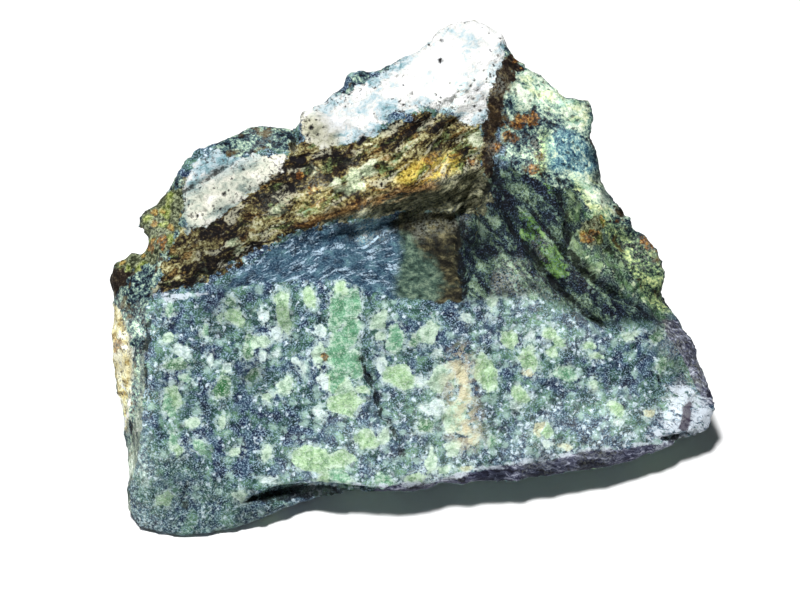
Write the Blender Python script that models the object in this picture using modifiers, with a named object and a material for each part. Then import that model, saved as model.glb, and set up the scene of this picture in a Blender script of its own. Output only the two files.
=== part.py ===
"""Raw jade boulder: one broken block of mottled jade with a weathered rind.

The stone is fused from a few convex blocks, one for each mass that its breaks
left standing. Scoops are cut out of it, its skin is weathered, and it is set
down on its flat resting patches. X runs along the stone, -Y is the broken
front face and +Z is up.
"""
import bmesh
import bpy
from mathutils import Vector, noise

MM = 0.001

# Heights over the ground that the breaks share, in millimetres.
SEAT = 0.3      # corners of the underside, which roughness carries down to the ground
LIP = 10        # lower edge of the front face, which overhangs
BREAK = 46      # upper edge of the front face, where the hollow's shelf begins
SHELF = 49      # back of the shelf, at the foot of the wall
LEDGE = 61      # front edge of the stained ledge over the shelf
TOP = 73        # front edge of the white top
PEAK = 81       # highest point of the stone

# How the surface is made, in millimetres.
FUSE_VOXEL = 1.4
TRIANGLES = 8900
GROUND = 300    # side of the block that stands for the ground
FACE_NORMAL = Vector((0.0, -0.74, 0.67))
BED = 4.6           # thickness of the beds that show as ledges in the weathered rind
BED_DIP = 0.28      # how fast the beds climb along X
BED_WAVE = 2.2      # how far the beds wander up and down
LEDGE_DEPTH = 1.5   # how far the ledges stand out

# Lumps of the skin: size across and depth, in millimetres, and the noise's seed.
BROAD_LUMPS = (17, 1.1, 1.0)        # all over
ROUGH_LUMPS = (6.5, 0.75, 5.0)      # all over
BACK_SWELLS = (24, 1.8, 9.0)
BACK_LUMPS = (10, 1.1, 12.0)
UNDER_SWELLS = (13, 1.5, 40.0)
UNDER_LUMPS = (7, 0.8, 43.0)
BED_WANDER = (11, BED_WAVE, 20.0)
BED_PATCHES = (21, 1.0, 31.0)       # where the beds show and where they are worn away

# How much of each effect is left where another rules, from 0 to 1.
BROAD_ON_FACE = 0.45
ROUGH_ON_FACE = 0.35
BEDS_ON_BACK = 0.25

# Corners of each block, in millimetres.
LOWER_BLOCK = (
    # lower edge of the front face, left to right
    (-70, -34, 9), (-66, -43, 12), (-40, -48, LIP), (-20, -47, LIP), (-3, -47, LIP + 1),
    (22, -43, LIP), (47, -39, LIP - 1), (62, -33, LIP - 1), (76, -26, LIP - 1), (78, -22, 14),
    # upper edge of the front face, left to right
    (-64, -14, 44), (-17, -13, BREAK + 4), (12, -16, BREAK), (37, -12, 42),
    (57, -13, 34), (70, -10, 26), (76, -18, 18),
    # left end
    (-74, -6, 40), (-75, -14, 26), (-72, -24, 14), (-74, 4, 32),
    # shelf and what lies behind it
    (-61, 12, 44), (-30, 34, SHELF), (20, 34, SHELF), (44, 22, 46), (60, 0, 32),
    # ground
    (-70, -22, SEAT), (-34, -28, SEAT), (16, -26, SEAT), (50, -20, SEAT), (66, -12, SEAT),
    (64, 10, SEAT), (50, 36, SEAT), (26, 50, SEAT), (-12, 48, SEAT), (-50, 32, SEAT),
    (-66, 12, SEAT),
    # swell of the back
    (-70, 16, 24), (-36, 46, 30), (12, 57, 34), (44, 44, 28), (66, 6, 22),
)
LEFT_FOOT = (
    (-70, -48, 3), (-67, -52, SEAT), (-63, -53, SEAT), (-54, -53, SEAT), (-40, -50, 2),
    (-30, -47, 5), (-21, -46, 9),
    (-66, -41, 13), (-44, -46, 10), (-70, -30, 12), (-69, -20, SEAT), (-30, -32, SEAT),
    (-20, -38, 5), (-60, -20, 12), (-70, -34, SEAT),
)
LEFT_SLAB = (
    (-64, -13, 44), (-40, -5, SHELF), (-30, 1, SHELF), (-57, -2, 50), (-40, 6, 58), (-31, 12, 63),
    (-66, -3, 43), (-62, 4, 48), (-63, 12, 53), (-57, 18, 61), (-52, 21, 64),
    (-40, 26, 66), (-31, 25, 66), (-61, 16, 36), (-57, 28, 40), (-30, 42, 45),
)
STAINED_LEDGE = (
    (-60, -11, 45), (-28, 2, 53), (-15, 8, 57), (-3, 9, LEDGE), (11, 12, LEDGE + 1),
    (-31, 12, 63), (-17, 15, 67), (-3, 17, 69), (14, 19, 68), (20, 22, 66),
    (-28, 3, 42), (-14, 10, 40), (-3, 13, 40), (14, 16, 40), (20, 36, 40), (-30, 34, 40),
)
WHITE_TOP = (
    (-29, 17, 65), (-17, 18, 69), (-7, 21, TOP), (11, 21, TOP), (20, 21, TOP - 1),
    (-28, 25, 68), (-26, 27, 70), (-17, 29, 72), (-13, 30, 72), (-6, 39, 75), (0, 43, 77),
    (8, 47, 79), (16, 48, PEAK), (23, 46, 80), (24, 38, 78),
    (-28, 40, 46), (-8, 51, 48), (14, 56, 50), (28, 50, 48), (-17, 16, 40), (20, 22, 40),
    (-24, 44, 30), (12, 56, 28), (32, 48, 30),
)
RIGHT_CREST = (
    (13, -15, BREAK), (37, -12, 42), (50, -6, 40), (26, 42, 78), (32, 39, 75), (38, 35, 70),
    (42, 30, 64), (44, 26, 60), (47.5, 22, 57), (48.5, 17, 51), (19, 20, 66),
    (26, 50, 50), (43, 37, 48), (48, 14, 40), (30, 46, 30), (46, 30, 30), (16, -8, 40), (22, 30, 38),
)
CREST_KNOB = (
    (38, 35, 69), (43, 34, 68), (47, 32, 66), (47, 28, 63), (43, 24, 61), (37, 26, 63),
    (41, 36, 58),
)
RIM_SLAB = (
    (42, 21, 54), (48, 18, 53), (54, 15, 48), (56, 11, 46), (50, 3, 44), (43, 10, 48),
    (46, 26, 38), (55, 16, 38), (58, 14, 34),
)
RIM_LUMP = (
    (50, 8, 45), (59, 12, 44), (63, 8, 41), (65, 4, 38), (65, 1, 35), (62, -2, 31), (53, -6, 37),
    (48, 0, 42), (55, 20, 30), (60, 4, 16), (54, 24, 20),
)
LEFT_BUMP = (
    (-75, -4, 38), (-75, 0, 41), (-72, 1, 44), (-67, 3, 45), (-65, -4, 46), (-68, -10, 44),
    (-73, 6, 34), (-66, 8, 38),
)
LEFT_KNOB = (
    (-69, 8, 49), (-69, 9, 52), (-66, 11, 54), (-62, 9, 54), (-61, 4, 51), (-64, 6, 47),
    (-60, 15, 48),
)
TOP_KNOB = (
    (-14, 31, 71), (-17, 35, 72), (-15, 37, 74), (-9, 39, 75), (-8, 35, 75), (-10, 31, 72),
    (-13, 41, 66),
)
UPPER_BLOCKS = (
    LEFT_FOOT, LEFT_SLAB, STAINED_LEDGE, WHITE_TOP, RIGHT_CREST, CREST_KNOB,
    RIM_SLAB, RIM_LUMP, LEFT_BUMP, LEFT_KNOB, TOP_KNOB,
)

# Scoops that shell-shaped breaks took out: centre, radii, in millimetres.
SHELF_DISH = ((6, 4, 114.5), (70, 70, 70))
SCOOPS = {
    "wall_dish": ((26, -6, 89), (40, 40, 40)),
    "back_left_scar": ((-34, 86, 44), (46, 46, 46)),
    "back_right_scar": ((66, 78, 34), (42, 42, 42)),
    "left_end_scar": ((-98, 16, 14), (30, 34, 24)),
}


def clear_scene():
    for old in list(bpy.data.objects):
        bpy.data.objects.remove(old, do_unlink=True)


def new_collection(name):
    collection = bpy.data.collections.new(name)
    bpy.context.scene.collection.children.link(collection)
    return collection


def ramp(low, high, value):
    """0 below low, 1 above high, and a smooth rise between."""
    part = min(max((value - low) / (high - low), 0.0), 1.0)
    return part * part * (3.0 - 2.0 * part)


def add_hulls(shape, blocks):
    """Add the convex hull of each block's corners."""
    for corners in blocks:
        verts = [shape.verts.new(Vector(corner) * MM) for corner in corners]
        hull = bmesh.ops.convex_hull(shape, input=verts)
        inner = [v for v in hull["geom_interior"] if isinstance(v, bmesh.types.BMVert)]
        bmesh.ops.delete(shape, geom=inner, context="VERTS")
    bmesh.ops.recalc_face_normals(shape, faces=shape.faces)


def mesh_object(name, shape, collection):
    """An object whose mesh is the given shape, which is used up."""
    mesh = bpy.data.meshes.new(name)
    shape.to_mesh(mesh)
    shape.free()
    made = bpy.data.objects.new(name, mesh)
    collection.objects.link(made)
    return made


def add_remesh(stone, name):
    remesh = stone.modifiers.new(name, "REMESH")
    remesh.mode = "VOXEL"
    remesh.voxel_size = FUSE_VOXEL * MM


def cutter_object(name, shape, collection):
    cutter = mesh_object(name, shape, collection)
    cutter.hide_render = True
    cutter.display_type = "WIRE"
    return cutter


def add_cut(stone, cutter):
    cut = stone.modifiers.new(cutter.name, "BOOLEAN")
    cut.operation = "DIFFERENCE"
    cut.object = cutter


def scoop(name, centre, radii, collection):
    """An ellipsoid cutter."""
    shape = bmesh.new()
    bmesh.ops.create_uvsphere(shape, u_segments=64, v_segments=40, radius=1.0)
    bmesh.ops.scale(shape, vec=Vector(radii) * MM, verts=shape.verts)
    bmesh.ops.translate(shape, vec=Vector(centre) * MM, verts=shape.verts)
    return cutter_object(name, shape, collection)


def settle(stone):
    """Make what the modifiers give the stone's own mesh."""
    graph = bpy.context.evaluated_depsgraph_get()
    mesh = bpy.data.meshes.new_from_object(stone.evaluated_get(graph))
    stone.modifiers.clear()
    stone.data = mesh


def lumps(place, kind):
    """Smooth noise, in millimetres, for one kind of lump."""
    size, depth, seed = kind
    return depth * noise.noise(place / size + Vector((seed, 2.7 * seed, -seed)))


def ledges(place):
    """The stepped edge of the beds: each rises slowly and drops sharply."""
    height = place.z - BED_DIP * place.x + lumps(place, BED_WANDER)
    part = height / BED % 1.0
    return LEDGE_DEPTH * (ramp(0.0, 0.7, part) * ramp(1.0, 0.85, part) - 0.5)


def bed_share(place, facing, back):
    """How fully the beds show: on the sides of the rind, left of the crest."""
    share = ramp(BREAK, BREAK + 4, place.z) * ramp(0.95, 0.8, facing.z) * ramp(20, 12, place.x)
    share *= 1.0 - (1.0 - BEDS_ON_BACK) * back
    return share * ramp(-0.5, 0.3, lumps(place, BED_PATCHES))


def skin_offset(place, facing):
    """How far the skin stands out at a place, in millimetres."""
    face = ramp(0.86, 0.97, facing.dot(FACE_NORMAL)) * ramp(BREAK + 6, BREAK + 2, place.z)
    back = ramp(0.1, 0.5, facing.y)
    under = ramp(-0.7, -0.9, facing.z)
    offset = lumps(place, BROAD_LUMPS) * (1.0 - (1.0 - BROAD_ON_FACE) * face)
    offset += lumps(place, ROUGH_LUMPS) * (1.0 - (1.0 - ROUGH_ON_FACE) * face)
    offset += back * (lumps(place, BACK_SWELLS) + lumps(place, BACK_LUMPS))
    offset += under * (lumps(place, UNDER_SWELLS) + lumps(place, UNDER_LUMPS))
    return offset + bed_share(place, facing, back) * ledges(place)


def weather(stone):
    """Push the skin in and out: broad lumps, roughness and the rind's ledges."""
    skin = bmesh.new()
    skin.from_mesh(stone.data)
    skin.normal_update()
    moves = [skin_offset(v.co / MM, v.normal) * v.normal for v in skin.verts]
    for vert, move in zip(skin.verts, moves):
        vert.co += move * MM
    skin.to_mesh(stone.data)
    skin.free()


def centre_footprint(stone):
    """Put the middle of the stone's plan on the origin."""
    for axis in (0, 1):
        places = [v.co[axis] for v in stone.data.vertices]
        middle = (min(places) + max(places)) / 2
        for vert in stone.data.vertices:
            vert.co[axis] -= middle


def ground(collection):
    """A block under the floor that cuts the resting patches flat."""
    shape = bmesh.new()
    bmesh.ops.create_cube(shape, size=GROUND * MM)
    bmesh.ops.translate(shape, verts=shape.verts, vec=(0, 0, -GROUND * MM / 2))
    return cutter_object("ground", shape, collection)


def jade():
    material = bpy.data.materials.new("raw_jade")
    material.use_nodes = True
    shader = material.node_tree.nodes["Principled BSDF"]
    shader.inputs["Base Color"].default_value = (0.13, 0.22, 0.18, 1.0)
    shader.inputs["Roughness"].default_value = 0.6
    shader.inputs["Metallic"].default_value = 0.0
    return material


def dished_lower_block(parts, cutters):
    """The lower block, with the shallow dish of the shelf taken out of its top."""
    shape = bmesh.new()
    add_hulls(shape, (LOWER_BLOCK,))
    block = mesh_object("jade_boulder", shape, parts)
    add_cut(block, scoop("shelf_dish", *SHELF_DISH, cutters))
    settle(block)
    return block


def add_upper_blocks(stone):
    shape = bmesh.new()
    shape.from_mesh(stone.data)
    add_hulls(shape, UPPER_BLOCKS)
    shape.to_mesh(stone.data)
    shape.free()


def fuse(stone, cutters):
    """Fuse the overlapping blocks, take the scoops out and soften the edges a little."""
    add_remesh(stone, "fuse")
    for name, (centre, radii) in SCOOPS.items():
        add_cut(stone, scoop(name, centre, radii, cutters))
    add_remesh(stone, "even_out")
    soften = stone.modifiers.new("soften", "SMOOTH")
    soften.factor = 0.5
    soften.iterations = 3
    settle(stone)


def thin_out(stone):
    """Bring the skin down to the number of triangles asked for."""
    thin = stone.modifiers.new("thin", "DECIMATE")
    thin.ratio = TRIANGLES / (2 * len(stone.data.polygons))
    settle(stone)


def build():
    clear_scene()
    parts = new_collection("raw_jade_boulder")
    cutters = new_collection("cutters")
    stone = dished_lower_block(parts, cutters)
    add_upper_blocks(stone)
    fuse(stone, cutters)
    weather(stone)
    thin_out(stone)
    centre_footprint(stone)
    add_cut(stone, ground(cutters))
    stone.data.materials.append(jade())


build()
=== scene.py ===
"""Finish of the raw jade boulder.

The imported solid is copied, remeshed finely and worked with breaks, beds,
grooves and pits. Each finish of the stone (mottled jade, chalky rind, bedded
stain, polished slip) covers its own part of the skin, marked on the mesh as a
distance in millimetres into that part, and one material lays them over each
other with ragged edges.

Places on the side that shows the broken face are given as (across, rise):
millimetres along X, and up the slope that the face lies in.
"""
import math

import bmesh
import bpy
import numpy as np
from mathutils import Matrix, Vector, noise


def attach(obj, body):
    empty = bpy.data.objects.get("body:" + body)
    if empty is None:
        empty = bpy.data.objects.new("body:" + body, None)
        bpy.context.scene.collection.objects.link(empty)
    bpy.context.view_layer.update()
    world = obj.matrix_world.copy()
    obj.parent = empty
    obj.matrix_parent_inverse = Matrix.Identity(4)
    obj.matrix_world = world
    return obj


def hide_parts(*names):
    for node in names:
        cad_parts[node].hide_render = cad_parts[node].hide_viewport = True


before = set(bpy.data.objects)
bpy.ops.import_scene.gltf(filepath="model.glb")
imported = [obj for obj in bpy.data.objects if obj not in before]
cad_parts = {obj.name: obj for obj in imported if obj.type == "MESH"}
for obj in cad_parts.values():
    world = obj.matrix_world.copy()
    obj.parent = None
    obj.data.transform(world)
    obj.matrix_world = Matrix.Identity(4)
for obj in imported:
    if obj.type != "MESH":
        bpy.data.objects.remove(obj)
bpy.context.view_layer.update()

MM = 0.001
NODE = "jade_boulder"

# The fine skin, in millimetres.
WELD = 0.01                 # corners of the solid nearer than this become one
VOXEL = 0.77
EASE, EASE_ROUNDS = 0.5, 4  # how strongly and how often the voxels' steps are smoothed
SLOPE = math.sqrt(0.5)      # the broken face leans back by half a right angle
FRONT_TURN = (-0.1, 0.25)   # from looking away to looking the way the broken face does
FAR = 6.0                   # distances into a finish are kept within this
CHIP_SEED = 11              # the slopes of the small breaks come out the same each time
SLOPE_CHANGE = 5.3          # how far apart in the noise two breaks take their slopes
CRACK_TAPER = 0.6           # how bluntly a crack ends

# Outlines as (across, rise). The white rind and the stained band below it:
WHITE_TOP = (
    (-28, 63), (-28, 66), (-25, 69), (-17, 71), (-15, 73), (-10, 75), (-5, 79), (4, 87), (14, 94),
    (24, 88), (22, 80), (19, 72), (18, 65), (14, 63), (9, 66), (3, 67), (-5, 66), (-7, 63),
    (-10, 60), (-16, 58), (-22, 57), (-27, 59),
)
WHITE_SLAB = (
    (-56, 36), (-57, 42), (-57, 46), (-55, 53), (-49, 57), (-44, 55), (-38, 56), (-31, 56),
    (-33, 52), (-38, 48), (-42, 45), (-47, 41), (-52, 38),
)
STAIN_BAND = (
    (-64, 22), (-62, 27), (-60, 32), (-58, 36), (-54, 39), (-48, 43), (-41, 47), (-37, 51),
    (-32, 56), (-28, 60), (-17, 59), (-7, 63), (3, 66), (11, 66), (16, 64), (17, 60), (16.5, 55),
    (18, 51), (19, 45), (18, 41), (10, 41), (1, 42), (-5, 41), (-11, 40), (-17, 39), (-24, 38),
    (-31, 36), (-38, 32), (-45, 28), (-53, 24), (-56, 22),
)
OCHRE_CORE = ((-5, 49), (-4, 53), (1, 55), (9, 57), (13, 55), (11, 52), (4, 48), (-2, 47))
OCHRE_LEFT = ((-31, 42), (-26, 48), (-17, 52), (-7, 53), (-5, 49), (-11, 46), (-18, 44), (-24, 41))
BROWN_UNDER_LEDGE = (
    (-24, 39), (-17, 41), (-10, 44), (-4, 46), (6, 49), (14, 52), (21, 53), (21, 45), (18, 41),
    (10, 41), (1, 42), (-5, 41), (-11, 40), (-17, 39), (-22, 38),
)
BROWN_LOW_LEFT = (
    (-63, 22), (-60, 25), (-53, 29), (-45, 33), (-38, 35), (-37, 32), (-45, 28), (-53, 24),
    (-56, 22),
)
BROWN_MIDDLE = (
    (-53, 36), (-49, 41), (-43, 44), (-38, 48), (-31, 53), (-28, 57), (-21, 56), (-17, 57),
    (-16, 54), (-23, 52), (-28, 49), (-32, 45), (-37, 43), (-43, 40), (-48, 37),
)
BROWN_TOP = (
    (-9, 57), (-8, 62), (-4, 64), (3, 65), (9, 66), (11, 65), (8, 62), (1, 61), (-4, 57), (-7, 55),
)
BROWN_CREST = (
    (16.5, 51), (17, 60), (17, 65), (18, 71), (20, 79), (25, 81), (27, 78), (24, 75), (22, 68),
    (21, 61), (20.5, 53), (19, 50),
)
# The slip in the hollow, its nook and the wall at their right:
SLIP = (
    (-46, 22), (-43, 27), (-37, 31), (-31, 35), (-24, 38), (-17, 39), (-11, 40), (-4, 40),
    (-4, 42), (1, 42), (10, 42), (12, 36), (11, 27), (12, 20), (4, 19), (-1, 20), (-5, 20),
    (-11, 22), (-17, 25), (-28, 25), (-39, 24),
)
NOOK = ((-5, 44), (14, 46), (16, 36), (15, 27), (15, 17), (-2, 17), (-5, 22), (-3, 32))
NOOK_BROWN = (
    (-5, 46), (14, 46), (16, 36), (15, 27), (15, 15), (4, 16), (7, 24), (5, 29), (2, 31), (-1, 36),
    (-6, 37),
)
RIGHT_WALL = (
    (8, 46), (21, 53), (31, 55), (40, 52), (41, 30), (52, 21), (64, 14), (46, 14), (30, 21),
    (10, 19), (8, 30),
)
# The weathered rim, from the left end over the top to the right:
TEAL_CAP = (
    (-50, 57), (-47, 61), (-42, 64), (-31, 65), (-29, 60), (-30, 56), (-38, 57), (-43, 55),
    (-46, 54),
)
NAVY_PATCH = ((-8, 75), (-9, 77), (-7, 81), (-3, 82), (0, 84), (-1, 79), (-4, 77), (-5, 75))
OLIVE_TOP = ((-18, 71), (-15, 76), (-12, 78), (-10, 76), (-12, 74), (-14, 69), (-15, 68))
# the rim facet that faces away from the light: painted shade, darkened slightly through the dark
# mark
RIM_PAINTED_SHADE = (
    (42, 59), (46, 58), (48, 53), (49, 47), (52, 44), (53, 41), (51, 40), (47, 44), (44, 48),
    (42, 54),
)
LEFT_RIND = (
    (-77, 12), (-77, 20), (-75, 24), (-74, 28), (-69, 29), (-65, 28), (-65, 20), (-66, 12),
    (-67, 5), (-68, -5), (-69, -12), (-71, -19), (-74, -15), (-75, -5), (-76, 2),
)
LEFT_CREAM = (
    (-78, 18), (-75, 20), (-72, 17), (-70, 10), (-69, 3), (-70, -7), (-71, -13), (-75, -13),
    (-76, 0),
)
OLIVE_NODULES = (
    (-75, 28), (-75, 30), (-71, 33), (-66, 33), (-69, 36), (-70, 39), (-66, 43), (-62, 47),
    (-58, 47), (-57, 43), (-58, 38), (-60, 33), (-63, 30), (-66, 28), (-70, 27),
)
CREST_CREAM = (
    (24, 72), (27, 76), (30, 78), (35, 75), (38, 72), (41, 70), (44, 68), (44, 64), (42, 62),
    (39, 63), (37, 67), (31, 68), (26, 68),
)
LEFT_BROWN = ((-78, 22), (-77, 26), (-73, 29), (-69, 28), (-71, 24), (-74, 20))
RIGHT_END = ((57, 15), (66, 16), (71, 8), (74, 0), (69, -3), (64, 0), (60, 6))
CREST_BLUE = (
    (33, 52), (33, 60), (36, 63), (40, 62), (44, 59), (46, 53), (43, 51), (40, 49), (38, 52),
)
CREST_LIME = ((30, 51), (30, 60), (33, 62), (34, 58), (33, 52), (31, 50))
CREST_BEIGE = ((40, 48), (43, 52), (47, 50), (49, 44), (52, 42), (48, 40), (44, 39), (41, 41))
RIM_YELLOW = ((41, 37), (42, 40), (46, 41), (48, 38), (47, 33), (44, 33), (41, 34))
RIM_BROWN = ((49, 43), (51, 44), (53, 42), (52.5, 40), (50.5, 41))
WALL_OLIVE = (
    (26, 38), (28, 41), (31, 39), (33, 35), (37, 31), (38, 26), (35, 25), (32, 28), (30, 33),
    (27, 35),
)
WALL_OLIVE_HIGH = ((31, 49), (34, 53), (38, 53), (39, 50), (36, 47), (33, 47))
# The face's right end and edges, and marks on them:
RIGHT_STRIP = (
    (62, 15), (66, 15), (70, 10), (74, 3), (76, -2), (77, -8), (72, -5), (69, 1), (66, 7),
    (63, 11),
)
RIGHT_WHITE = (
    (63, -3), (66, -1), (69, -2), (72, -5), (76, -9), (75, -13), (68, -15), (61, -15.5), (58, -14),
    (61, -12), (63, -8),
)
RIGHT_PURPLE = ((67, -7), (68.5, -4.5), (69.5, -6), (69, -10), (68, -13.5), (66, -12))
CHIPPED_EDGE = (
    (-32, -26), (-20, -25.5), (-10, -25.8), (4, -24.8), (16, -21.8), (31, -19.5), (43, -17),
    (52, -16.5), (62, -15),
)
PEACH_VEIN = (
    (8, 6), (12, 9), (15, 4), (14.5, -4), (16.5, -10), (16.5, -16), (12, -17), (9, -14), (9, -8),
    (7, 0),
)
BURNT_LINE = (
    (-29, 38), (-24, 40.5), (-19, 43), (-12, 45), (-4, 48), (6, 49.5), (6, 47), (-3, 44.5),
    (-11, 42.5), (-19, 40), (-25, 38),
)
LOWER_BEVEL = (
    (-10, -26), (-4, -25), (4, -25), (10, -23), (16, -22), (21, -21), (31, -20), (36, -19),
    (43, -17), (52, -17), (61, -16), (66, -14), (66, -20), (56, -24), (46, -26), (36, -28),
    (21, -28), (16, -30), (4, -31), (-10, -31),
)
FOOT = (
    (-74, -15), (-67, -12), (-62, -17), (-57, -18), (-52, -22), (-49, -24), (-40, -27), (-31, -31),
    (-37, -36), (-46, -39), (-59, -41), (-70, -40), (-74, -32),
)
EDGE_BRUISE = (
    (-64, 21), (-60, 21.5), (-55, 21.5), (-50, 21.7), (-50, 21.2), (-56, 20), (-61, 19.5),
)
# Wider areas that change what lies over them:
CREST = (
    (24, 53), (20, 66), (20, 84), (30, 84), (48, 74), (50, 60), (58, 45), (66, 32), (66, 16),
    (60, 18), (53, 28), (46, 38), (41, 47), (36, 47), (30, 50),
)
PALE_LOW_FACE = (
    (-10, -4), (10, 2), (20, -2), (45, -2), (60, -4), (66, -14), (40, -20), (20, -24), (-5, -28),
    (-30, -28), (-36, -20), (-20, -14),
)
PALE_HIGH_FACE = ((12, 12), (14, 24), (26, 26), (34, 20), (48, 14), (44, 6), (28, 8), (20, 6))
WHITEST = ((-6, 72), (-4, 80), (4, 88), (14, 94), (24, 88), (21, 76), (17, 67), (8, 70), (0, 70))
SLAB_CREAM = (
    (-58, 34), (-47, 40), (-38, 46), (-30, 53), (-32, 59), (-42, 54), (-50, 50), (-58, 46),
)
WHITE_CREAM = ((-31, 57), (-30, 66), (-24, 66), (-19, 61), (-18, 56), (-24, 55))
LEFT_STRIP = ((-74, -40), (-74, 14), (-66, 14), (-66, -2), (-67, -14), (-70, -26), (-70, -40))
GROOVE_SIDE = ((40, 50), (46, 42), (60, 34), (66, 20), (63, 13), (52, 21), (41, 28), (38, 40))
LEFT_END = ((-80, -2), (-80, 30), (-62, 50), (-56, 50), (-56, 38), (-64, 22), (-67, 12), (-68, -2))

# Soft patches: across, rise, radius, strength. Pale patches on the skin, partly paler tone and
# partly painted light that lightens places lying in shade, such as under the stained ledge, at the
# top of the slip and in a hollow of the white top:
PALE_AND_PAINTED_LIGHT = (
    (45, -12, 9, 0.3), (30, -15, 7, 0.25), (56, -11, 5, 0.15), (2, -8, 8, 0.08), (5, -21, 8, 0.14),
    (-25, -20, 8, 0.12), (-19, -12, 5, 0.2), (24, 25, 4, 0.6), (30, 19, 6, 0.3), (38, 14, 5, 0.25),
    (-67, 14, 4, 0.7), (-67, 4, 4, 0.4), (-69, -4, 6, 0.65), (-69, -20, 6, 0.5),
    (-68, -34, 5, 0.25), (-74, 10, 4, 0.5), (-73, -8, 4, 0.7), (-14, 50, 3.4, 0.35),
    (64, -7, 4.5, 0.34), (65, 9, 5, 0.4), (44, 30, 7, 0.12), (46, 45, 3, 0.35), (71, 1, 5, 0.4),
    (10, 71, 5, 0.4), (-24, 47.5, 3.5, 0.3), (-35, 43, 3.0, 0.15), (22, 57, 3.5, 0.42),
    (21, 73, 3, 0.45), (57, 32, 5, 0.35), (31, 57, 3.5, 0.68), (37, 62, 3, 0.15),
    (-12, 37.5, 4, 0.85), (3, 40, 5, 0.38), (10, 41, 4, 0.35), (34, 70, 5, 0.4), (6, 52, 4, 0.3),
    (-64, 37, 4, 0.3), (-38, 60, 4, 0.25), (-74, 18.5, 2.5, 0.45), (32, 33, 3, 0.25),
)
# Washed places in the stained band:
STAIN_PALE = (
    (-15, 49.5, 3.0, 1.0), (-11.5, 51.5, 2.6, 0.9), (-19, 48, 2.4, 0.7), (15.5, 59.5, 2.6, 0.9),
    (-44, 33, 3, 0.5), (-33, 41, 3, 0.5), (-52, 26, 2.5, 0.5), (-26, 52, 2.5, 0.5),
    (2, 61, 2.5, 0.4),
)
# Darker places, partly darker tone and partly painted shade, such as on the rim facet that faces
# away from the light and along the lower bevel under the face:
DARK_AND_PAINTED_SHADE = (
    (-47, 18, 7, 0.4), (-45, -8, 9, 0.1), (-60, -2, 6, 0.3), (-32, 16, 4, 0.42), (-8, 9, 7, 0.18),
    (2, 9, 6, 0.15), (-47, 47, 8, 0.13), (6, 1, 3, 0.15), (16, 35, 5, 0.75), (21, 43, 5, 0.5),
    (-22, 61, 5, 0.38), (44.5, 55.5, 2.2, 0.75), (46, 50.5, 2.2, 0.75), (48.3, 46, 2.2, 0.7),
    (51.5, 42, 2.2, 0.7), (26, 35, 9, 0.15), (-46, 42.5, 3, 0.25), (-40, 48, 3, 0.15),
    (-8, 33, 2.5, 0.25), (-52, 31, 6, 0.5), (-41, 37, 5, 0.35), (-28, 44, 4, 0.2), (9, 30, 4, 0.3),
    (20, -26, 5, 0.85), (45, -23, 6, 0.8), (32, -24, 6, 0.8), (0, -28, 5, 0.5), (-20, 41, 3, 0.35),
    (-60, -30, 8, 0.2), (-40, -33, 6, 0.3), (-40, 2, 4, 0.55), (20, 48, 3.5, 0.65),
    (16, 44, 3, 0.5),
)

# Coloured grains of the broken face: across, rise, width, height.
VIVID_GRAINS = (
    (-58.5, 4, 5, 3), (-47, -1.5, 4, 5), (0, 9.5, 2, 3), (29, 22, 3, 3.5), (60, 10.5, 3.5, 3),
    (61.5, 3.5, 2.5, 3), (2.5, -11, 4, 3), (-40.5, 8, 2.5, 5), (-39.5, 1.5, 3, 2.5),
    (-45, 19.5, 2.5, 2),
)
LEAF_GRAINS = (
    (-18.5, 17, 5, 8), (-14.5, 19, 4, 5), (-15.5, 12, 5, 7), (-18.5, 7, 6, 8), (-19, 0.5, 5, 6),
    (-14.5, 4, 4, 6), (-4.5, 10.5, 4.5, 5.5), (-51, 12, 2, 3), (-60, 17, 2, 3),
    (-52.5, -16, 3.5, 2.5), (-59, -15, 2, 4), (-7, -24.5, 4.5, 3), (19, -14.5, 2, 3),
    (37, 1.5, 5, 3), (-56, 0.5, 3, 2), (-18.5, -23.5, 6, 3), (-60, -5.5, 3.5, 5.5),
)
LIME_GRAINS = (
    (-18, 22.5, 3, 4), (-25.5, 20.5, 3.5, 4), (-43.5, 15.5, 4, 4), (-32, 16.5, 4, 8),
    (-3.5, 1, 6, 6), (17.5, 2, 5, 8), (23, 10, 3.5, 4), (28, 5, 4.5, 5.5), (33.5, 11.5, 3, 4),
    (35.5, 9.5, 3, 2), (33.5, 7, 2, 3), (26, -3.5, 4, 4), (43.5, 8.5, 2.5, 2.5), (45, 6, 3, 2),
    (32, -12.5, 3, 4), (50, -7, 3.5, 3.5), (-17, -5.5, 6.5, 6), (-11.5, -14.5, 4.5, 5),
    (-18.5, -19, 5, 4), (-25, -19, 7.5, 7.5), (-22, -23.5, 2.5, 3), (-59, -4, 3, 6.5),
    (-61, -29, 3.5, 3.5), (-13, -2, 3, 2.5), (0, -24, 4, 3), (-58, -17, 2, 3),
)
PALE_GRAINS = (
    (-8.5, 15, 3, 4.5), (-8, 11, 2, 3), (3.5, 12, 3.5, 5), (-38, 9.5, 4, 3),
    (-23.5, 6.5, 2.5, 4.5), (-31.5, -1.5, 3, 5), (-36, -4, 3, 2), (-60.5, 10.5, 2.5, 2.5),
    (-47.5, 15.5, 1.5, 3), (6, 0.5, 4, 6.5), (10, -8.5, 6, 7), (-54, -10, 3, 2.5),
    (-47, -10, 2, 3), (-44, -17.5, 3, 2), (-36, -17.5, 2.5, 3), (-7.5, -13.5, 3, 3.5),
    (4, -20, 3, 5), (7, -22, 3, 2), (9.5, -16.5, 4, 3), (19, 19.5, 2, 5), (22, 22.5, 2.5, 3),
    (28.5, 7.5, 3.5, 2), (-42.5, -28.5, 3.5, 2), (53, 11, 4, 1.5), (44.5, -1, 2, 2),
    (-17.5, -1.5, 6, 3.5), (9.5, 0.5, 2, 4),
)
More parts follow.
